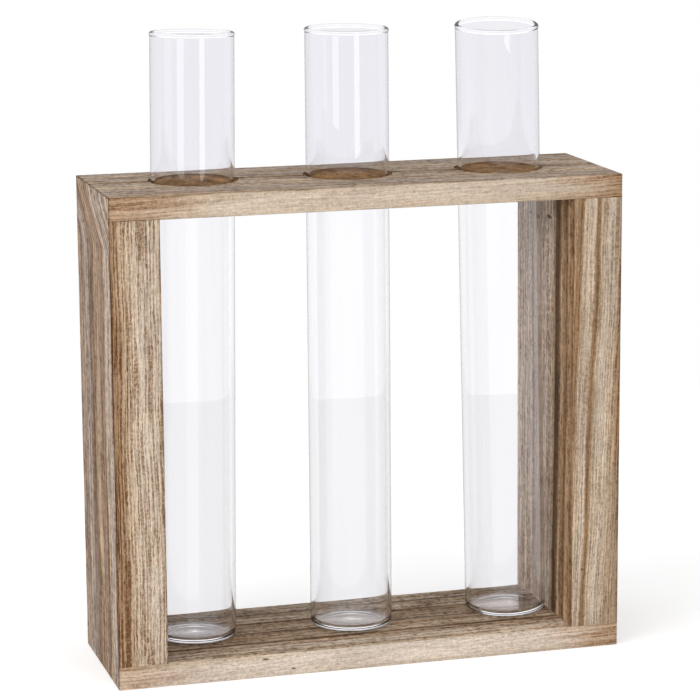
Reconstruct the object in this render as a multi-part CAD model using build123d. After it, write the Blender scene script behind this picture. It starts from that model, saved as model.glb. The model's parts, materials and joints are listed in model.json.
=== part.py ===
from build123d import *
import math
import os

os.makedirs("parts", exist_ok=True)

# Test tube vase: an open wooden frame of four boards that holds three clear glass tubes.
# Millimetres, +Z up, origin at the middle of the frame's underside, -Y is the front.

# The wooden frame
frame_width = 200.0
frame_height = 187.5
board_width = 63.0
top_board_thickness = 9.0
bottom_board_thickness = 9.0
side_board_thickness = 19.2
edge_easing = 0.5

# The row of three holes in the top board
hole_clearance = 0.85
hole_side_margin = 3.75
hole_row_offset = 0.4
left_hole_setback = 5.2
right_hole_setback = 0.6

# The glass tubes
tube_diameter = 32.0
tube_wall = 1.4
tube_length = 234.0
tube_floor = 1.8
heel_radius = 2.5
inner_heel_chamfer = 1.0
lip_bulge = 0.25
lip_flats = 8
pip_radius = 2.7
pip_height = 0.5
standing_gap = 0.1

# Where the tubes' feet stand: the outer two by their gap to the side boards, and all three
# by how far they are to the right of, or behind, the middle of their own hole
left_foot_side_gap = 1.2
right_foot_side_gap = 0.2
middle_foot_right = -1.0
left_foot_back = -5.7
middle_foot_back = -4.5
right_foot_back = 0.8

# How far the outer two tubes pass from the middle of their holes, towards the side boards
outer_tube_offset = 0.3

# How far each mouth is out of square with its tube, lower at the front, in degrees
left_mouth_slant = 0.5
middle_mouth_slant = 2.0
right_mouth_slant = 4.5

# The dowel pins in the corners
dowel_diameter = 6.0
dowel_length = 20.0
dowel_inset = 14.0
dowel_cover = 3.0
dowel_fit_gap = 0.1
dowel_end_gap = 0.5

# Worked out from the sizes above
inner_bottom = bottom_board_thickness
inner_top = frame_height - top_board_thickness
inner_half_width = frame_width / 2 - side_board_thickness
side_board_height = inner_top - inner_bottom
side_board_centre = frame_width / 2 - side_board_thickness / 2
tube_radius = tube_diameter / 2
bore_radius = tube_radius - tube_wall
hole_radius = tube_radius + hole_clearance
hole_reach = inner_half_width - hole_side_margin - hole_radius
lip_ring_radius = tube_radius - tube_wall / 2
lip_radius = tube_wall / 2 + lip_bulge
top_board_middle = frame_height - top_board_thickness / 2
cut_overrun = frame_width


# The boards
def plank(length, width, height, bottom):
    """A board with all its edges eased, standing on the height named bottom."""
    block = Pos(0, 0, bottom) * Box(length, width, height, align=(Align.CENTER, Align.CENTER, Align.MIN))
    return chamfer(block.edges(), edge_easing)


def hole_centres():
    """The three holes lie on a straight line, from the left one to the right one."""
    setback_step = (right_hole_setback - left_hole_setback) / 2
    setback_middle = (right_hole_setback + left_hole_setback) / 2
    return [
        (hole_row_offset + place * hole_reach, setback_middle + place * setback_step) for place in (-1, 0, 1)
    ]


# Dowel pins: two in each corner, standing across the joint between a flat board and a side board
class Corner:
    """One corner of the frame: which side board, which flat board, and where its pins lie."""

    def __init__(self, name, side, end):
        self.name = name
        self.x = side * side_board_centre
        self.joint = inner_top if end > 0 else inner_bottom
        flat_thickness = top_board_thickness if end > 0 else bottom_board_thickness
        self.outward = end
        self.flat_depth = flat_thickness - dowel_cover
        self.side_depth = dowel_length - self.flat_depth + 2 * dowel_end_gap


corners = [
    Corner("top_left", -1, 1),
    Corner("top_right", 1, 1),
    Corner("bottom_left", -1, -1),
    Corner("bottom_right", 1, -1),
]
pin_rows = {"front": -(board_width / 2 - dowel_inset), "back": board_width / 2 - dowel_inset}


def pin_hole(corner, y):
    """The cutter of one blind pin hole, which goes into both boards of a corner."""
    top = corner.joint + (corner.flat_depth if corner.outward > 0 else corner.side_depth)
    bottom = corner.joint - (corner.side_depth if corner.outward > 0 else corner.flat_depth)
    radius = dowel_diameter / 2 + dowel_fit_gap
    return Pos(corner.x, y, (top + bottom) / 2) * Cylinder(radius, top - bottom)


def dowel_pin(corner, y):
    """A plain hardwood pin, deepest in the side board."""
    shallow_end = corner.joint + corner.outward * (corner.flat_depth - dowel_end_gap)
    middle = shallow_end - corner.outward * dowel_length / 2
    return Pos(corner.x, y, middle) * Cylinder(dowel_diameter / 2, dowel_length)


pin_holes = [pin_hole(corner, y) for corner in corners for y in pin_rows.values()]


def top_board():
    board = plank(frame_width, board_width, top_board_thickness, inner_top)
    for x, y in hole_centres():
        board -= Pos(x, y, top_board_middle) * Cylinder(hole_radius, top_board_thickness)
    return board - pin_holes


def bottom_board():
    return plank(frame_width, board_width, bottom_board_thickness, 0) - pin_holes


def side_board(side):
    board = plank(side_board_thickness, board_width, side_board_height, inner_bottom)
    return Pos(side * side_board_centre, 0, 0) * board - pin_holes


# Glass tubes: each is turned about its own axis, then leaned from its foot through its hole
def tube_profile():
    """Half section of the tube wall and floor, from the axis outwards, as high as the tube."""
    foot_radius = tube_radius - heel_radius
    heel_middle = heel_radius * (1 - math.sqrt(1 / 2))
    with BuildSketch(Plane.XZ) as section:
        with BuildLine():
            Line((0, 0), (foot_radius, 0))
            ThreePointArc(
                (foot_radius, 0),
                (tube_radius - heel_middle, heel_middle),
                (tube_radius, heel_radius),
            )
            Polyline(
                (tube_radius, heel_radius),
                (tube_radius, tube_length),
                (bore_radius, tube_length),
                (bore_radius, tube_floor + inner_heel_chamfer),
                (bore_radius - inner_heel_chamfer, tube_floor),
                (pip_radius, tube_floor),
                (0, tube_floor + pip_height),
                (0, 0),
            )
        make_face()
    return section.sketch


def lip_bead():
    """The thickened ring of the mouth, a bead with flats, lying flat around the origin."""
    half_flat = 360 / lip_flats / 2
    bead = RegularPolygon(lip_radius, lip_flats, major_radius=False, rotation=half_flat)
    return revolve(Plane.XZ * Pos(lip_ring_radius, 0) * bead, Axis.Z)


def upright_tube(mouth_slant):
    """A tube standing straight up on the origin, with its mouth lower at the front by mouth_slant."""
    wall = revolve(tube_profile(), Axis.Z)
    mouth = Plane((0, 0, tube_length - lip_radius)) * Rot(mouth_slant, 0, 0)
    above_mouth = mouth * Box(
        cut_overrun, cut_overrun, cut_overrun, align=(Align.CENTER, Align.CENTER, Align.MIN)
    )
    return wall - above_mouth + mouth * lip_bead()


def leaning_tube(passage, foot, mouth_slant):
    """Leans a tube so that its axis runs from its foot through its passage in the hole, and stands it
    so that the lowest point of its rounded heel is just clear of the bottom board."""
    base = Vector(*foot, inner_bottom)
    lean = (Vector(*passage, top_board_middle) - base).normalized()
    angle = math.acos(lean.Z)
    heel_lift = (tube_radius - heel_radius) * math.sin(angle) - heel_radius * (1 - math.cos(angle))
    standing = Plane(base + Vector(0, 0, heel_lift + standing_gap), x_dir=(1, 0, 0), z_dir=lean)
    return standing.location * upright_tube(mouth_slant)


left_hole, middle_hole, right_hole = hole_centres()
left_passage = (left_hole[0] - outer_tube_offset, left_hole[1])
right_passage = (right_hole[0] + outer_tube_offset, right_hole[1])
left_foot = (left_foot_side_gap + tube_radius - inner_half_width, left_hole[1] + left_foot_back)
middle_foot = (middle_hole[0] + middle_foot_right, middle_hole[1] + middle_foot_back)
right_foot = (inner_half_width - tube_radius - right_foot_side_gap, right_hole[1] + right_foot_back)

pieces = {
    "top_board": top_board(),
    "bottom_board": bottom_board(),
    "left_side_board": side_board(-1),
    "right_side_board": side_board(1),
    "left_glass_tube": leaning_tube(left_passage, left_foot, left_mouth_slant),
    "middle_glass_tube": leaning_tube(middle_hole, middle_foot, middle_mouth_slant),
    "right_glass_tube": leaning_tube(right_passage, right_foot, right_mouth_slant),
}
for corner in corners:
    for row, y in pin_rows.items():
        pieces["dowel_" + corner.name + "_" + row] = dowel_pin(corner, y)

for name, piece in pieces.items():
    export_step(piece, "parts/" + name + ".step")
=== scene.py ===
import json
import math
import bmesh
import bpy
from mathutils import Matrix, Vector, noise


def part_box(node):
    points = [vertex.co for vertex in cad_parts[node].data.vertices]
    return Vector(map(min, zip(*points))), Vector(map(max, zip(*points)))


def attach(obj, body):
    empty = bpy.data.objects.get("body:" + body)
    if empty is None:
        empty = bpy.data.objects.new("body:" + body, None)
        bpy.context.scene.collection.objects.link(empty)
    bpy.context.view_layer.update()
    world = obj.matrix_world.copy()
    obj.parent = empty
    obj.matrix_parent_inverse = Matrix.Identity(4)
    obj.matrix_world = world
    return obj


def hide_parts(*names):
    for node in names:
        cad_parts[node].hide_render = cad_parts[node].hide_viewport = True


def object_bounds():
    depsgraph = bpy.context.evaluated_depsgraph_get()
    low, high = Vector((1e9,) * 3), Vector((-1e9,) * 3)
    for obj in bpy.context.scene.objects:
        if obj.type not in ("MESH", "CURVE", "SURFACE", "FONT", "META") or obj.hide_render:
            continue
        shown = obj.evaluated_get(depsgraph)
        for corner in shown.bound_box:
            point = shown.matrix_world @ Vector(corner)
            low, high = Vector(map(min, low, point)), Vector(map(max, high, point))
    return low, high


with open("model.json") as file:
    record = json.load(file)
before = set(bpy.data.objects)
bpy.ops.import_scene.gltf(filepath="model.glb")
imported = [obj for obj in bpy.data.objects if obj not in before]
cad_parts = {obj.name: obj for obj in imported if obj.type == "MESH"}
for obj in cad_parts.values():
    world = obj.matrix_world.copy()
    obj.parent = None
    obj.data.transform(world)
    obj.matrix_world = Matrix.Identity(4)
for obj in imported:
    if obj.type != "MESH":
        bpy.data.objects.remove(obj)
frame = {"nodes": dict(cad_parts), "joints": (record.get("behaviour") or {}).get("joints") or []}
cad_low, cad_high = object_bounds()
MM = 0.001

# The camera, fitted to the photograph's frame corners
photo_width_px = 700
camera_place = Vector((-302.3, -1065.8, 344.7)) * MM
camera_pitch = -11.525
camera_roll = 0.385
camera_yaw = -15.841
camera_focal_px = 2915.7
sensor_width_mm = 36.0

# The boards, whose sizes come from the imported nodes
edge_round = 0.35 * MM
edge_steps = 3
edge_waver = 0.12 * MM
wavers_per_metre = 90
smooth_below = math.radians(40)
cell_length = 6.0 * MM
hole_radius = 16.85 * MM
hole_edge = 0.35 * MM
hole_sides = 128

# The scorched spots on both sides of each hole, in mm: from the hole's middle, and their half sizes
spot_offset = 18.4
spot_half_sizes = (2.2, 1.6)

# The glass tubes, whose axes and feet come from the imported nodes
tube_radius = 16.0 * MM
tube_wall = 1.4 * MM
tube_floor = 1.8 * MM
heel_radius = 2.5 * MM
inner_heel_radius = 2.0 * MM
foot_punt = 0.3 * MM
pip_radius = 2.2 * MM
pip_height = 0.12 * MM
lip_bulge = 0.195 * MM
lip_drop = 0.02 * MM
neck_length = 9.0 * MM
wall_ring_shares = (0.05, 0.3, 0.6, 0.85)
tube_sides = 128
mouth_slants = {"left": 0.5, "middle": 2.0, "right": 4.5}


def colour(red, green, blue):
    """Scene colour of a colour written in 0 to 255, as a picture holds it."""
    shares = [c / 255 for c in (red, green, blue)]
    return tuple(s / 12.92 if s <= 0.04045 else ((s + 0.055) / 1.055) ** 2.4 for s in shares) + (1.0,)


class Nodes:
    """Adds shader nodes to one tree. Each call gives back the new node's output."""

    def __init__(self, tree):
        self.tree = tree
        tree.nodes.clear()

    def add(self, kind, inputs=None, out=0, **settings):
        node = self.tree.nodes.new(kind)
        for key, value in settings.items():
            setattr(node, key, value)
        for key, value in (inputs or {}).items():
            if isinstance(value, bpy.types.NodeSocket):
                self.tree.links.new(value, node.inputs[key])
            else:
                node.inputs[key].default_value = value
        return node.outputs[out] if node.outputs else None

    def math(self, operation, first, second=0.0, clamp=False):
        return self.add("ShaderNodeMath", {0: first, 1: second}, operation=operation, use_clamp=clamp)

    def span(self, value, low, high, to_low=0.0, to_high=1.0, smooth=False):
        """Value stretched so that low becomes to_low and high becomes to_high, and no further."""
        kind = "SMOOTHSTEP" if smooth else "LINEAR"
        return self.add(
            "ShaderNodeMapRange", {0: value, 1: low, 2: high, 3: to_low, 4: to_high}, interpolation_type=kind
        )

    def mix(self, share, first, second, blend="MIX"):
        return self.add(
            "ShaderNodeMix", {0: share, 6: first, 7: second}, out=2, data_type="RGBA", blend_type=blend
        )

    def noise(self, vector, stretch, shift, detail=2.0, roughness=0.5):
        """Noise from 0 to 1, whose blots are as long as stretch says along each axis of vector."""
        scale = tuple(1 / s for s in stretch)
        place = (shift, -shift, shift)
        moved = self.add("ShaderNodeMapping", {"Vector": vector, "Scale": scale, "Location": place})
        settings = {"Vector": moved, "Scale": 1.0, "Detail": detail, "Roughness": roughness}
        return self.add("ShaderNodeTexNoise", settings)


# Wood: every face of a board has its own tones from edge to edge, with lines, fibres and stains on top
PALE = colour(218, 200, 180)
SAND = colour(203, 181, 155)
TAN = colour(184, 158, 130)
HONEY = colour(160, 127, 92)
BROWN = colour(134, 105, 79)
DARK = colour(98, 75, 56)
ASH = colour(186, 171, 158)
SLATE = colour(160, 140, 125)
UMBER = colour(140, 117, 98)
CORK = colour(192, 148, 100)
# Pale wood tone, painted lighter still to make up for the shade on the rear and middle of the right board's
# inner face
MIST_AND_PAINTED_LIGHT = colour(240, 221, 203)
CREAM = colour(230, 214, 198)
LINE_TINT = colour(170, 140, 108)
STAIN_TINT = colour(214, 190, 162)
BURN_TINT = colour(112, 86, 64)
PORE_TINT = colour(146, 120, 94)

# How the grain sways, wavers and frays: the length of the bends along each axis, how far they reach
# across the grain, all in mm, and the detail of the noise
GRAIN_BENDS = (((75, 40, 60), 3.4, 1.0), ((17, 7, 30), 1.0, 1.0), ((2.0, 1.0, 3), 0.5, 0.0))


def grain_place(n, along, across, slant, flare, seed):
    """Place in mm along and across the grain. The grain sways, wavers and is a little fuzzy, as in
    brushed wood. Gives the plain place, the swaying one, the distances along and across, and the
    swaying distance across."""
    here = n.add("ShaderNodeTexCoord", out=3)
    in_mm = n.add("ShaderNodeVectorMath", {0: here, 3: 1 / MM}, operation="SCALE")
    split = n.add("ShaderNodeSeparateXYZ", {0: in_mm}).node.outputs
    u, v, w = split[along], split[across], split[3 - along - across]
    plain = n.add("ShaderNodeCombineXYZ", {0: u, 1: v, 2: w})
    bent = n.math("SUBTRACT", v, n.math("MULTIPLY", u, slant))
    if flare:
        start, end, shift = flare
        bent = n.math("SUBTRACT", bent, n.span(u, start, end, 0.0, shift, smooth=True))
    for stretch, reach, detail in GRAIN_BENDS:
        waver = n.noise(plain, stretch, seed + reach, detail=detail)
        bent = n.math("ADD", bent, n.math("MULTIPLY", n.math("SUBTRACT", waver, 0.5), reach))
    return plain, n.add("ShaderNodeCombineXYZ", {0: u, 1: bent, 2: w}), u, v, bent


def tone_ramp(n, place, tones):
    """Colour at a place across the grain, from a list of places in mm and their tones."""
    first, last = tones[0][0], tones[-1][0]
    ramp = n.tree.nodes.new("ShaderNodeValToRGB")
    n.tree.links.new(n.span(place, first, last), ramp.inputs[0])
    stops = ramp.color_ramp.elements
    while len(stops) < len(tones):
        stops.new(0.5)
    for stop, (at, tone) in zip(stops, tones):
        stop.position = (at - first) / (last - first)
        stop.color = tone
    return ramp.outputs[0]


def wood(
    name, along, across, tones, slant=0.0, flare=(), gap=1.3, lines=0.6, pores=0.4, fibres=1.0, coarse=1.0,
    clouds=1.0, stains=(), marks=(), seed=0.0
):
    """A brushed and lightly scorched wood face. along and across are axes, 0 to 2. tones run across
    the grain. slant is how far the grain runs across per unit along, and a flare turns it aside
    between two places along. gap is the spacing of the brown lines in mm, coarse how broad the
    fibres are. lines, pores, fibres and clouds say how strong each of these is. A stain is an axis,
    the place in mm where it is strongest, the place where it ends, its strength and its tint. A mark
    is a small dark fleck: its place and its half sizes."""
    material = bpy.data.materials.new(name)
    material.use_nodes = True
    n = Nodes(material.node_tree)
    plain, grain, u, v, bent = grain_place(n, along, across, slant, flare, seed)
    body = tone_ramp(n, bent, tones)

    cloud = n.noise(grain, (45, 6, 40), seed + 1.3, detail=3.0)
    fibre = n.noise(grain, (7, 0.4 * coarse, 12), seed + 5.9, detail=3.0, roughness=0.65)
    bead = n.noise(plain, (0.5 + 0.3 * coarse, 1.1 * coarse, 4), seed + 8.4, detail=1.0)
    shade = n.span(cloud, 0.3, 0.7, 1 - 0.22 * clouds, 1 + 0.14 * clouds)
    shade = n.math("MULTIPLY", shade, n.span(fibre, 0.3, 0.7, 1 - 0.32 * fibres, 1 + 0.24 * fibres))
    shade = n.math("MULTIPLY", shade, n.span(bead, 0.3, 0.7, 0.9, 1.08))
    body = n.add("ShaderNodeVectorMath", {0: body, 3: shade}, operation="SCALE")

    stained = 0.0
    for axis, strongest, end, strength, tint in stains:
        drift = n.math("MULTIPLY", n.math("SUBTRACT", cloud, 0.5), abs(end - strongest) * 1.5)
        place = n.math("ADD", u if axis == along else v, drift)
        stain = n.span(place, end, strongest, 0.0, strength, smooth=True)
        body = n.mix(stain, body, tint, blend="MULTIPLY")
        stained = n.math("MAXIMUM", stain, stained)

    ring = n.math("SINE", n.math("MULTIPLY", bent, 2 * math.pi / gap))
    streak = n.noise(grain, (40, gap * 0.45, 60), seed + 4.2, detail=1.0)
    streak = n.math("ADD", streak, n.math("MULTIPLY", ring, 0.08))
    fade = n.noise(grain, (13, 2.4, 30), seed + 7.7, detail=2.0)
    line = n.span(streak, 0.45, 0.55, smooth=True)
    line = n.math("MULTIPLY", line, n.span(fade, 0.32, 0.55, 0.4, 1.0))
    line = n.math("MULTIPLY", line, n.span(bead, 0.4, 0.6, 1.0, 0.6))
    line = n.math("MULTIPLY", line, n.math("ADD", n.math("MULTIPLY", stained, 0.7), lines), clamp=True)
    pore = n.noise(grain, (2.6, 0.28 * coarse, 6), seed + 2.2, detail=1.0)
    pore = n.math("MULTIPLY", n.span(pore, 0.56, 0.68, smooth=True), pores)
    body = n.mix(line, body, LINE_TINT, blend="MULTIPLY")
    body = n.mix(pore, body, PORE_TINT, blend="MULTIPLY")
    for u_mark, v_mark, u_half, v_half in marks:
        squash = (1 / u_half, 1 / v_half, 0)
        nearby = n.add("ShaderNodeVectorMath", {0: plain, 1: squash}, operation="MULTIPLY")
        middle = (u_mark / u_half, v_mark / v_half, 0)
        away = n.add("ShaderNodeVectorMath", {0: nearby, 1: middle}, out=1, operation="DISTANCE")
        away = n.math("ADD", away, n.math("MULTIPLY", fibre, 0.8))
        body = n.mix(n.span(away, 1.0, 1.6, 0.9, 0.0, smooth=True), body, DARK)

    height = n.math("SUBTRACT", n.math("MULTIPLY", fibre, 0.6), n.math("ADD", line, pore))
    relief = n.add("ShaderNodeBump", {"Height": height, "Strength": 0.5, "Distance": 0.12 * MM})
    rough = n.span(fibre, 0.3, 0.7, 0.72, 0.86)
    shader = n.add(
        "ShaderNodeBsdfPrincipled",
        {"Base Color": body, "Roughness": rough, "Normal": relief, "Specular IOR Level": 0.25},
    )
    n.add("ShaderNodeOutputMaterial", {0: shader})
    return material


def glass():
    """Clear colourless glass with the faint upright streaks of drawn tubing."""
    material = bpy.data.materials.new("clear_glass")
    material.use_nodes = True
    n = Nodes(material.node_tree)
    here = n.add("ShaderNodeTexCoord", out=3)
    in_mm = n.add("ShaderNodeVectorMath", {0: here, 3: 1 / MM}, operation="SCALE")
    drawn = n.noise(in_mm, (3, 3, 160), 4.0, detail=1.0)
    tint = n.mix(n.span(drawn, 0.35, 0.65), (0.98, 0.98, 0.995, 1.0), (0.99, 0.99, 1.0, 1.0))
    body = n.add(
        "ShaderNodeBsdfPrincipled",
        {"Base Color": tint, "Roughness": 0.0, "IOR": 1.48, "Transmission Weight": 1.0},
    )
    open_to_lamps = n.add("ShaderNodeBsdfTransparent", {"Color": (0.97, 0.97, 0.98, 1.0)})
    from_lamp = n.add("ShaderNodeLightPath").node.outputs["Is Shadow Ray"]
    shader = n.add("ShaderNodeMixShader", {0: from_lamp, 1: body, 2: open_to_lamps})
    n.add("ShaderNodeOutputMaterial", {0: shader})
    return material


# The faces of each board, in the order left, right, front, back, under, top
HALF_DEPTH = cad_high.y / MM


def outer_face(name, seed, edges=(), **settings):
    """The broad outer face of a side board: light, with a brown band before its front third that
    moves back near the top. The ends of the flat boards above and below it are toned alike."""
    tones = (
        (-HALF_DEPTH - 40, ASH), (-22, ASH), (-19, TAN), (-16.5, UMBER), (-12, SLATE), (-3, TAN), (4, UMBER),
        (10, SLATE), (18, ASH), (24, SLATE), (HALF_DEPTH, TAN)
    )
    front_edge = (1, -HALF_DEPTH - 0.3, -HALF_DEPTH + 1.3, 0.9, BURN_TINT)
    return wood(
        name, 2, 1, tones, flare=(164, 188, 30), gap=4.5, coarse=3.5, stains=(front_edge, *edges), seed=seed,
        **settings,
    )


def left_board_faces(low, high):
    front = ((low.x, TAN), (low.x + 6, SAND), (low.x + 10, PALE), (high.x - 4, PALE), (high.x, PALE))
    dark_left = (0, low.x - 3, low.x + 10, 0.9, STAIN_TINT)
    dark_right = (0, high.x + 1.2, high.x - 2, 0.8, STAIN_TINT)
    outer_edge = (0, low.x - 0.2, low.x + 0.8, 1.0, BURN_TINT)
    return [
        outer_face("left_outer", 11, lines=0.8, pores=0.6),
        outer_face("left_inner", 12, lines=0.5),
        wood(
            "left_front", 2, 0, front, lines=0.95, gap=1.35, pores=0.6, clouds=0.6,
            stains=(dark_left, dark_right, outer_edge), seed=13,
        ),
        wood("left_back", 2, 0, front, lines=0.85, pores=0.6, stains=(dark_left, outer_edge), seed=14),
        wood("left_ends", 1, 0, front, seed=15),
    ]


def right_board_faces(low, high):
    front = (
        (71, TAN), (75.0, SAND), (76.0, HONEY), (77.6, HONEY), (78.6, SAND), (82.8, PALE), (83.5, HONEY),
        (84.7, HONEY), (85.6, SAND), (89, PALE), (93, SAND), (95.5, TAN), (100, SAND)
    )
    # The middle and rear of the inner face are pale wood with painted light on top, which makes up for the
    # shade that falls there inside the frame
    inner = (
        (-HALF_DEPTH, TAN), (-27, HONEY), (-24, TAN), (-21, BROWN), (-18, HONEY), (-15, TAN), (-13, BROWN),
        (-11.8, DARK), (-9, DARK), (-7, TAN), (-4.5, PALE), (2, MIST_AND_PAINTED_LIGHT), (7, MIST_AND_PAINTED_LIGHT), (9.6, PALE), (10.2, UMBER),
        (11.2, MIST_AND_PAINTED_LIGHT), (HALF_DEPTH, MIST_AND_PAINTED_LIGHT)
    )
    edge = (0, high.x + 1, high.x - 3, 0.9, STAIN_TINT)
    outer_edge = (0, high.x + 0.2, high.x - 0.5, 0.7, BURN_TINT)
    dark_front = (1, -HALF_DEPTH - 3, -12, 0.3, STAIN_TINT)
    return [
        wood(
            "right_inner", 2, 1, inner, slant=-0.012, lines=0.7, gap=3.6, coarse=2.6, pores=0.7,
            stains=(dark_front,), marks=((167.5, 11.5, 0.7, 1.6), (167.5, -2.6, 0.8, 2.6)), seed=21,
        ),
        outer_face("right_outer", 22, lines=0.75, pores=0.6),
        wood(
            "right_front", 2, 0, front, slant=0.036, lines=0.65, gap=1.15, pores=0.5,
            stains=(edge, outer_edge), marks=((32, 85.0, 0.5, 0.7),), seed=23,
        ),
        wood("right_back", 2, 0, front, slant=0.03, lines=0.8, stains=(edge,), seed=24),
        wood("right_ends", 1, 0, front, seed=25),
    ]


def top_board_faces(low, high):
    """The top face has a dark straight joint line that runs through the middles of the holes, with
    small scorched spots where it meets them."""
    top = (
        (-36, TAN), (-22, ASH), (-8, SAND), (-3, ASH), (1.4, TAN), (2.1, BROWN), (3.0, BROWN),
        (3.8, SAND), (10, ASH), (18, SAND), (24, ASH), (36, TAN)
    )
    edge = ((low.z - 3, SAND), (low.z + 3, PALE), (high.z - 1.5, PALE), (high.z + 3, SAND))
    upper_edge = (2, high.z + 0.3, high.z - 0.8, 0.9, BURN_TINT)
    left_end = (0, low.x - 0.2, low.x + 0.9, 1.0, BURN_TINT)
    dark_left = (0, -112, -52, 1.0, STAIN_TINT)
    dark_right = (0, 112, 50, 1.0, STAIN_TINT)
    ends = (dark_left, dark_right, upper_edge, left_end)
    under = ((-HALF_DEPTH, SLATE), (-10, UMBER), (-8, DARK), (-6, UMBER), (14, BROWN), (HALF_DEPTH, UMBER))
    spots = []
    for place in hole_places():
        for side in (-1, 1):
            spots.append((place.x / MM + side * spot_offset, place.y / MM, *spot_half_sizes))
    return [
        outer_face("top_left_end", 11, edges=(upper_edge,), lines=0.8, pores=0.6),
        outer_face("top_right_end", 22, edges=(upper_edge,), lines=0.75, pores=0.6),
        wood(
            "top_front", 0, 2, edge, slant=0.03, lines=0.3, gap=1.2, pores=0.35, fibres=0.6, clouds=0.5,
            stains=ends, seed=33,
        ),
        wood("top_back", 0, 2, edge, lines=0.4, gap=1.3, stains=ends, seed=34),
        wood("top_under", 0, 1, under, lines=0.5, gap=2.2, coarse=1.5, seed=35),
        wood(
            "top_face", 0, 1, top, slant=-0.0385, lines=0.7, gap=4.2, coarse=3.6, pores=0.8,
            stains=(left_end,), marks=spots, seed=36,
        ),
    ]


def bottom_board_faces(low, high):
    """The upper face is sandy and pale, with long darker lines; it looks dark from the shade of the top
    board above it.
    """
    upper = (
        (-HALF_DEPTH, SAND), (-24, PALE), (-17.2, TAN), (-16.6, BROWN), (-15.6, BROWN), (-14, SAND),
        (-3.6, TAN), (-3, UMBER), (-1.6, UMBER), (-1, SAND), (9, TAN), (9.6, BROWN), (10.8, BROWN),
        (11.6, PALE), (20, SAND), (20.6, UMBER), (22, UMBER), (22.6, PALE), (HALF_DEPTH, SAND)
    )
    edge = ((low.z - 3, SAND), (low.z + 2, CREAM), (high.z - 1, CREAM), (high.z + 3, SAND))
    dark_left = (0, -112, -72, 0.8, STAIN_TINT)
    dark_right = (0, 112, 66, 1.0, STAIN_TINT)
    left_end = (0, low.x - 0.2, low.x + 0.8, 0.9, BURN_TINT)
    flecks = ((-43, 7.2, 1.4, 0.4), (-32, 2.6, 0.9, 0.4))
    return [
        outer_face("bottom_left_end", 11, lines=0.8, pores=0.6),
        outer_face("bottom_right_end", 22, lines=0.75, pores=0.6),
        wood(
            "bottom_front", 0, 2, edge, slant=0.03, lines=0.25, gap=1.5, pores=0.5, fibres=0.6, clouds=0.5,
            stains=(dark_left, dark_right, left_end), marks=flecks, seed=43,
        ),
        wood("bottom_back", 0, 2, edge, lines=0.4, gap=1.5, stains=(dark_left, dark_right), seed=44),
        wood("bottom_under", 0, 1, upper, lines=0.5, gap=2.2, coarse=1.5, seed=45),
        wood("bottom_face", 0, 1, upper, slant=0.01, lines=0.8, gap=4.2, coarse=3.4, pores=0.9, seed=46),
    ]


BOARD_FACES = {
    "left_side_board": left_board_faces,
    "right_side_board": right_board_faces,
    "top_board": top_board_faces,
    "bottom_board": bottom_board_faces,
}


def new_piece(name, mesh):
    """An object made of a bmesh, linked to the scene."""
    data = bpy.data.meshes.new(name)
    mesh.to_mesh(data)
    mesh.free()
    piece = bpy.data.objects.new(name, data)
    bpy.context.scene.collection.objects.link(piece)
    return piece


def rounded_block(low, high, cells, joint_levels, is_side):
    """A block between two corners with rounded edges, cut into cells along its longest side. Edges at
    a joint stay sharp, but for the long edges of the flat boards."""
    mesh = bmesh.new()
    bmesh.ops.create_cube(mesh, size=1.0)
    size = high - low
    bmesh.ops.scale(mesh, vec=size, verts=mesh.verts)
    bmesh.ops.translate(mesh, vec=(low + high) / 2, verts=mesh.verts)
    edges = []
    for edge in mesh.edges:
        first, second = (v.co for v in edge.verts)
        away = [max(abs(first.z - level), abs(second.z - level)) for level in joint_levels]
        at_joint = min(away) < edge_round / 2
        if not (at_joint and (is_side or first.x == second.x)):
            edges.append(edge)
    bmesh.ops.bevel(mesh, geom=edges, offset=edge_round, segments=edge_steps, affect="EDGES", profile=0.5)
    axis = max(range(3), key=lambda k: size[k])
    normal = Vector([1.0 if k == axis else 0.0 for k in range(3)])
    for cut in range(1, cells):
        place = low + size * cut / cells
        geometry = list(mesh.verts) + list(mesh.edges) + list(mesh.faces)
        bmesh.ops.bisect_plane(mesh, geom=geometry, plane_co=place, plane_no=normal, dist=1e-6)
    return mesh


def hole_places():
    """Centres of the top board's three holes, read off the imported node's own round walls."""
    low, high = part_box("top_board")
    middle = (low.z + high.z) / 2
    reach = (high.x - low.x) / 3
    walls = [
        v.co.xy for v in frame["nodes"]["top_board"].data.vertices
        if low.x + 0.1 * reach < v.co.x < high.x - 0.1 * reach and abs(v.co.y) < high.y - edge_round * 2
    ]
    places = []
    for joint in frame["joints"]:
        node = joint["child"].replace("_tube", "_glass_tube")
        foot, axis = tube_place(node, Vector(joint["axis"]))
        crossing = foot + axis * ((middle - foot.z) / axis.z)
        near = [w for w in walls if abs((w - crossing.xy).length - hole_radius) < hole_radius * 0.1]
        xs, ys = [w.x for w in near], [w.y for w in near]
        places.append(Vector(((min(xs) + max(xs)) / 2, (min(ys) + max(ys)) / 2, middle)))
    return places


def hole_cutter(place, thickness):
    """The round cutter of one hole, a little wider at both faces so that the hole's edges are eased."""
    half = thickness / 2
    profile = [
        (hole_radius + hole_edge * 2, -half - hole_edge),
        (hole_radius, -half + hole_edge),
        (hole_radius, half - hole_edge),
        (hole_radius + hole_edge * 2, half + hole_edge),
    ]
    mesh = bmesh.new()
    rings = []
    for radius, height in profile:
        ring = []
        for k in range(hole_sides):
            turn = 2 * math.pi * k / hole_sides
            offset = Vector((radius * math.cos(turn), radius * math.sin(turn), height))
            ring.append(mesh.verts.new(place + offset))
        rings.append(ring)
    for lower, upper in zip(rings, rings[1:]):
        for k in range(hole_sides):
            after = (k + 1) % hole_sides
            mesh.faces.new((lower[k], lower[after], upper[after], upper[k]))
    mesh.faces.new(list(reversed(rings[0])))
    mesh.faces.new(rings[-1])
    return new_piece("cutter", mesh)


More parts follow.
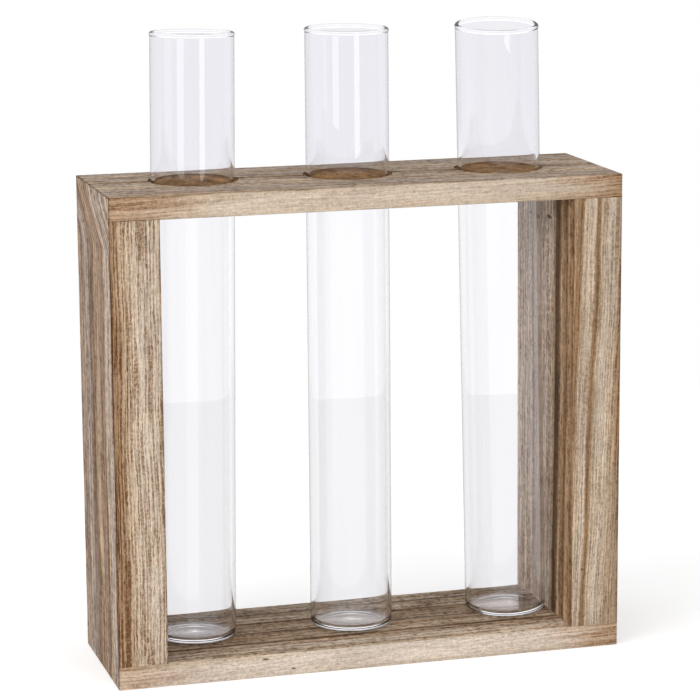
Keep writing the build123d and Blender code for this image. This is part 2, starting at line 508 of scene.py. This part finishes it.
def cut_holes(board):
    """Cuts the three tube holes through the top board."""
    low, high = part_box("top_board")
    for place in hole_places():
        cutter = hole_cutter(place, high.z - low.z)
        cut = board.modifiers.new("hole", "BOOLEAN")
        cut.operation = "DIFFERENCE"
        cut.solver = "EXACT"
        cut.object = cutter
        bpy.context.view_layer.update()
        evaluated = board.evaluated_get(bpy.context.evaluated_depsgraph_get())
        done = bpy.data.meshes.new_from_object(evaluated)
        board.modifiers.clear()
        board.data = done
        bpy.data.objects.remove(cutter)


def waver(piece, joint_levels):
    """Moves the surface in by a hair, unevenly, as brushed and sanded wood is. Joints stay closed."""
    normals = [v.normal.copy() for v in piece.data.vertices]
    for v, normal in zip(piece.data.vertices, normals):
        if min(abs(v.co.z - level) for level in joint_levels) < edge_round:
            normal.z = 0.0
        depth = 0.5 + 0.5 * noise.noise(v.co * wavers_per_metre)
        v.co -= normal * edge_waver * max(0.0, depth)


def paint_faces(piece, faces, places=()):
    """Gives each polygon the material of the side that it looks to, and a hole's wall its own."""
    for material in faces:
        piece.data.materials.append(material)
    for polygon in piece.data.polygons:
        n = polygon.normal
        side = max(range(3), key=lambda k: abs(n[k]))
        slot = side * 2 + (1 if n[side] > 0 else 0)
        slot = min(slot, len(faces) - 1)
        for place in places:
            if (polygon.center.xy - place.xy).length < hole_radius + hole_edge * 3 and abs(n.z) < 0.9:
                slot = len(faces) - 1
        polygon.material_index = slot


def make_boards():
    joint_levels = [corner.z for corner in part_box("left_side_board")]
    for node, make_faces in BOARD_FACES.items():
        low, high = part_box(node)
        faces = make_faces(low / MM, high / MM)
        size = high - low
        cells = round(max(size) / cell_length)
        mesh = rounded_block(low, high, cells, joint_levels, is_side=node.endswith("side_board"))
        board = new_piece(node + "_wood", mesh)
        places = ()
        if node == "top_board":
            cut_holes(board)
            places = hole_places()
            tones = ((low.z / MM - 3, CORK), (high.z / MM - 1.5, CORK), (high.z / MM + 1.5, HONEY))
            burnt_rim = (2, high.z / MM + 0.2, high.z / MM - 1.2, 0.8, BURN_TINT)
            bored = {"lines": 0.15, "pores": 0.4, "fibres": 1.8, "coarse": 2.6, "clouds": 1.4}
            faces.append(wood("hole_wall", 0, 2, tones, stains=(burnt_rim,), seed=51, **bored))
        waver(board, joint_levels)
        paint_faces(board, faces, places)
        board.data.shade_smooth()
        board.data.set_sharp_from_angle(angle=smooth_below)
        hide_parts(node)
        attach(board, "frame")


def tube_place(node, axis):
    """Middle of a tube's foot and the direction of its axis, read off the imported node."""
    axis = axis.normalized()
    aside = axis.cross(Vector((0, 1, 0))).normalized()
    ahead = axis.cross(aside)
    points = [v.co for v in frame["nodes"][node].data.vertices]
    middles = []
    for way in (aside, ahead):
        reaches = [p.dot(way) for p in points]
        middles.append((min(reaches) + max(reaches)) / 2)
    foot = min(p.dot(axis) for p in points)
    return aside * middles[0] + ahead * middles[1] + axis * foot, axis


def arc(centre, radius, start, end, steps):
    """Points of an arc in the half section, from one angle to another in degrees, both included."""
    points = []
    for k in range(steps + 1):
        turn = math.radians(start + (end - start) * k / steps)
        points.append((centre[0] + radius * math.cos(turn), centre[1] + radius * math.sin(turn)))
    return points


def tube_section(length):
    """Half section of a tube from the middle of its foot, up the outside, over the lip and down the inside.
    Each point is a radius, a height and the share of the mouth's slant that it takes."""
    bore = tube_radius - tube_wall
    lip_radius = tube_wall / 2 + lip_bulge
    lip_middle = (tube_radius - tube_wall / 2, length - lip_radius)
    neck = length - neck_length
    collar = lip_middle[1] - lip_radius
    dip = math.degrees(math.asin(tube_wall / 2 / lip_radius))
    foot_ring = tube_radius - heel_radius
    outside = [(0, foot_punt), (foot_ring * 0.5, foot_punt * 0.85), (foot_ring * 0.8, foot_punt * 0.35)]
    outside += arc((foot_ring, heel_radius), heel_radius, -90, 0, 8)
    outside += [(tube_radius, length * share) for share in wall_ring_shares] + [(tube_radius, neck)]
    collar_ring = [(tube_radius, collar - lip_radius), (tube_radius, collar)]
    lip = arc(lip_middle, lip_radius, -90 + dip, 270 - dip, 20)
    inner_collar_ring = [(bore, collar), (bore, collar - lip_radius)]
    inside = [(bore, neck)] + [(bore, length * share) for share in reversed(wall_ring_shares)]
    inside += arc((bore - inner_heel_radius, tube_floor + inner_heel_radius), inner_heel_radius, 0, -90, 6)
    inside += [(pip_radius * 1.6, tube_floor), (pip_radius, tube_floor + pip_height * 0.15)]
    inside += [(pip_radius * 0.55, tube_floor + pip_height * 0.75), (0, tube_floor + pip_height)]
    straight, slanted = 0.0, 1.0
    around_lip = [(*p, slanted) for p in collar_ring + lip + inner_collar_ring]
    return [(*p, straight) for p in outside] + around_lip + [(*p, straight) for p in inside]


def lathe(section, slant):
    """Turns a half section about the Z axis. Its lip is tilted by slant degrees, lower at the front."""
    mesh = bmesh.new()
    rings = []
    for radius, height, share in section:
        if radius == 0:
            rings.append([mesh.verts.new((0, 0, height))])
            continue
        ring = []
        for k in range(tube_sides):
            turn = 2 * math.pi * k / tube_sides
            x, y = radius * math.cos(turn), radius * math.sin(turn)
            ring.append(mesh.verts.new((x, y, height + share * y * math.tan(math.radians(slant)))))
        rings.append(ring)
    for first, second in zip(rings, rings[1:]):
        for k in range(tube_sides):
            after = (k + 1) % tube_sides
            corners = [first[k % len(first)], first[after % len(first)]]
            corners += [second[after % len(second)], second[k % len(second)]]
            mesh.faces.new(list(dict.fromkeys(corners)))
    bmesh.ops.recalc_face_normals(mesh, faces=mesh.faces)
    return mesh


def make_tubes():
    material = glass()
    for joint in frame["joints"]:
        side = joint["child"].split("_")[0]
        node = side + "_glass_tube"
        foot, axis = tube_place(node, Vector(joint["axis"]))
        points = [v.co.dot(axis) for v in frame["nodes"][node].data.vertices]
        slant = mouth_slants[side]
        raised = (tube_radius - tube_wall / 2) * math.sin(math.radians(slant))
        mesh = lathe(tube_section(max(points) - min(points) - raised - lip_drop), slant)
        turned = Vector((1, 0, 0)) - axis * axis.x
        turned.normalize()
        place = Matrix((turned, axis.cross(turned), axis)).transposed().to_4x4()
        place.translation = foot
        bmesh.ops.transform(mesh, matrix=place, verts=mesh.verts)
        tube = new_piece(side + "_tube_glass", mesh)
        tube.data.materials.append(material)
        tube.data.shade_smooth()
        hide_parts(node)
        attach(tube, joint["child"])


def finish_dowels():
    """The hidden pins keep their CAD shape and get a plain hardwood finish."""
    half = cad_high.x / MM
    pin = wood("dowel_wood", 2, 0, ((-half, SAND), (half, TAN)), lines=0.3, gap=0.9, seed=61)
    for name, node in frame["nodes"].items():
        if name.startswith("dowel"):
            node.data.materials.clear()
            node.data.materials.append(pin)


# The stage: a pale table top, a white surround and soft lamps
floor_half_width = 0.9
floor_back = 0.45
floor_front = -2.4
floor_turn = -11.0
floor_tone = 0.8
floor_lift = 0.42
floor_evenness = 0.8
floor_fade_from, floor_fade_to = 0.4, 0.7
ambient = 0.43
haze_from, haze_to = -0.148, -0.135
glow_from, glow_to = 0.2, 0.25
above_from, above_to = 0.36, 0.42
lamp_aim = Vector((0, 0, 120)) * MM

TABLE_IN_GLASS = (1.05, 1.045, 1.05, 1.0)
SURROUND_IN_GLASS = (1.045, 1.045, 1.05, 1.0)
HAZE_IN_GLASS = (0.885, 0.88, 0.91, 1.0)
LOW_GLOW_IN_GLASS = (1.5, 1.42, 1.4, 1.0)
ABOVE_IN_GLASS = (0.8, 0.8, 0.82, 1.0)
MIRRORED_STUDIO = (0.35, 0.35, 0.37, 1.0)
MIRRORED_BACKDROP = (0.45, 0.45, 0.47, 1.0)


def make_floor():
    """A pale table, lifted to white for the camera and plain white further off. In gloss it has the
    tones of the surround, and in glass it is nearly even."""
    mesh = bmesh.new()
    corners = [
        (-floor_half_width, floor_front), (floor_half_width, floor_front),
        (floor_half_width, floor_back), (-floor_half_width, floor_back),
    ]
    mesh.faces.new([mesh.verts.new((x, y, 0)) for x, y in corners])
    floor = new_piece("floor", mesh)
    floor.rotation_euler.z = math.radians(floor_turn)
    material = bpy.data.materials.new("pale_table")
    material.use_nodes = True
    n = Nodes(material.node_tree)
    path = n.add("ShaderNodeLightPath").node.outputs
    direct = n.math("LESS_THAN", path["Diffuse Depth"], 0.5)
    through = n.math("MULTIPLY", path["Is Transmission Ray"], direct)
    mirrored = n.math("GREATER_THAN", path["Is Glossy Ray"], path["Is Transmission Ray"])
    mirrored = n.math("MULTIPLY", mirrored, direct)
    body = n.add("ShaderNodeBsdfDiffuse", {"Color": (floor_tone, floor_tone, floor_tone, 1.0)})
    lift = n.add("ShaderNodeEmission", {"Strength": n.math("MULTIPLY", path["Is Camera Ray"], floor_lift)})
    here = n.add("ShaderNodeTexCoord", out=3)
    behind = n.add("ShaderNodeSeparateXYZ", {0: here}).node.outputs[1]
    distance = n.add("ShaderNodeVectorMath", {0: here}, out=1, operation="LENGTH")
    off = n.span(distance, floor_fade_from, floor_fade_to)
    in_gloss = n.mix(n.span(behind, 0.0, 0.1), MIRRORED_STUDIO, MIRRORED_BACKDROP)
    plain = n.add("ShaderNodeEmission", {"Color": n.mix(mirrored, TABLE_IN_GLASS, in_gloss)})
    evenness = n.math("MAXIMUM", mirrored, n.math("MULTIPLY", through, floor_evenness))
    evenness = n.math("MAXIMUM", evenness, n.math("MULTIPLY", path["Is Camera Ray"], off))
    lifted = n.add("ShaderNodeAddShader", {0: body, 1: lift})
    shader = n.add("ShaderNodeMixShader", {0: evenness, 1: lifted, 2: plain})
    n.add("ShaderNodeOutputMaterial", {0: shader})
    floor.data.materials.append(material)


def make_world():
    """White for the camera, white with a pale grey top for glass, with a glow above eye level and
    grey higher up, a pale backdrop and a dim studio in front of it for reflections, and an even soft
    light for the rest."""
    world = bpy.data.worlds.new("studio")
    bpy.context.scene.world = world
    world.use_nodes = True
    n = Nodes(world.node_tree)
    path = n.add("ShaderNodeLightPath").node.outputs
    direction = n.add("ShaderNodeTexCoord").node.outputs["Generated"]
    split = n.add("ShaderNodeSeparateXYZ", {0: direction}).node.outputs
    haze = n.span(split[2], haze_from, haze_to)
    mirrored = n.mix(n.span(split[1], 0.0, 0.25), MIRRORED_STUDIO, MIRRORED_BACKDROP)
    through = n.mix(haze, SURROUND_IN_GLASS, HAZE_IN_GLASS)
    through = n.mix(n.span(split[2], glow_from, glow_to), through, LOW_GLOW_IN_GLASS)
    through = n.mix(n.span(split[2], above_from, above_to), through, ABOVE_IN_GLASS)
    seen = n.math("LESS_THAN", path["Diffuse Depth"], 0.5)
    tone = n.mix(n.math("MULTIPLY", path["Is Glossy Ray"], seen), (ambient,) * 3 + (1.0,), mirrored)
    tone = n.mix(n.math("MULTIPLY", path["Is Transmission Ray"], seen), tone, through)
    tone = n.mix(path["Is Camera Ray"], tone, (1.0, 1.0, 1.0, 1.0))
    n.add("ShaderNodeOutputWorld", {0: n.add("ShaderNodeBackground", {"Color": tone, "Strength": 1.0})})


def add_lamp(name, azimuth, height, distance, size, watts, mirrored=True):
    """An area lamp aimed at the object's middle. Azimuth 0 is in front, and it grows to the right."""
    turn = math.radians(azimuth)
    data = bpy.data.lights.new(name, "AREA")
    data.shape = "RECTANGLE"
    data.size, data.size_y = size
    data.energy = watts
    lamp = bpy.data.objects.new(name, data)
    lamp.location = (distance * math.sin(turn), -distance * math.cos(turn), height)
    lamp.rotation_euler = (lamp_aim - lamp.location).to_track_quat("-Z", "Y").to_euler()
    lamp.visible_camera = False
    lamp.visible_glossy = mirrored
    lamp.visible_transmission = False
    bpy.context.scene.collection.objects.link(lamp)


def make_lamps():
    add_lamp("front_key", 20, 1.3, 1.9, (1.2, 1.2), 1.5, mirrored=False)
    add_lamp("left_fill", -66, 0.45, 1.5, (1.0, 1.0), 12, mirrored=False)
    add_lamp("overhead", 0, 2.0, 0.3, (1.4, 1.4), 12, mirrored=False)
    add_lamp("left_strip", -46, 0.452, 1.5, (0.5, 0.75), 3.0)
    add_lamp("right_strip", 12, 0.43, 1.5, (0.4, 0.75), 3.2)
    add_lamp("far_left_box", -84, 0.45, 1.5, (0.7, 0.75), 1.5)


def make_camera():
    data = bpy.data.cameras.new("photo_camera")
    data.lens = camera_focal_px / photo_width_px * sensor_width_mm
    data.sensor_width = sensor_width_mm
    camera = bpy.data.objects.new("photo_camera", data)
    turn = Matrix.Rotation(math.radians(camera_yaw), 3, "Z")
    turn = turn @ Matrix.Rotation(math.radians(camera_pitch), 3, "X")
    turn = turn @ Matrix.Rotation(math.radians(camera_roll), 3, "Y")
    look = turn @ Matrix.Rotation(math.radians(90), 3, "X")
    camera.matrix_world = Matrix.Translation(camera_place) @ look.to_4x4()
    bpy.context.scene.collection.objects.link(camera)
    bpy.context.scene.camera = camera


make_camera()
make_boards()
make_tubes()
finish_dowels()
make_floor()
make_world()
make_lamps()
bpy.context.scene.view_settings.view_transform = "Standard"
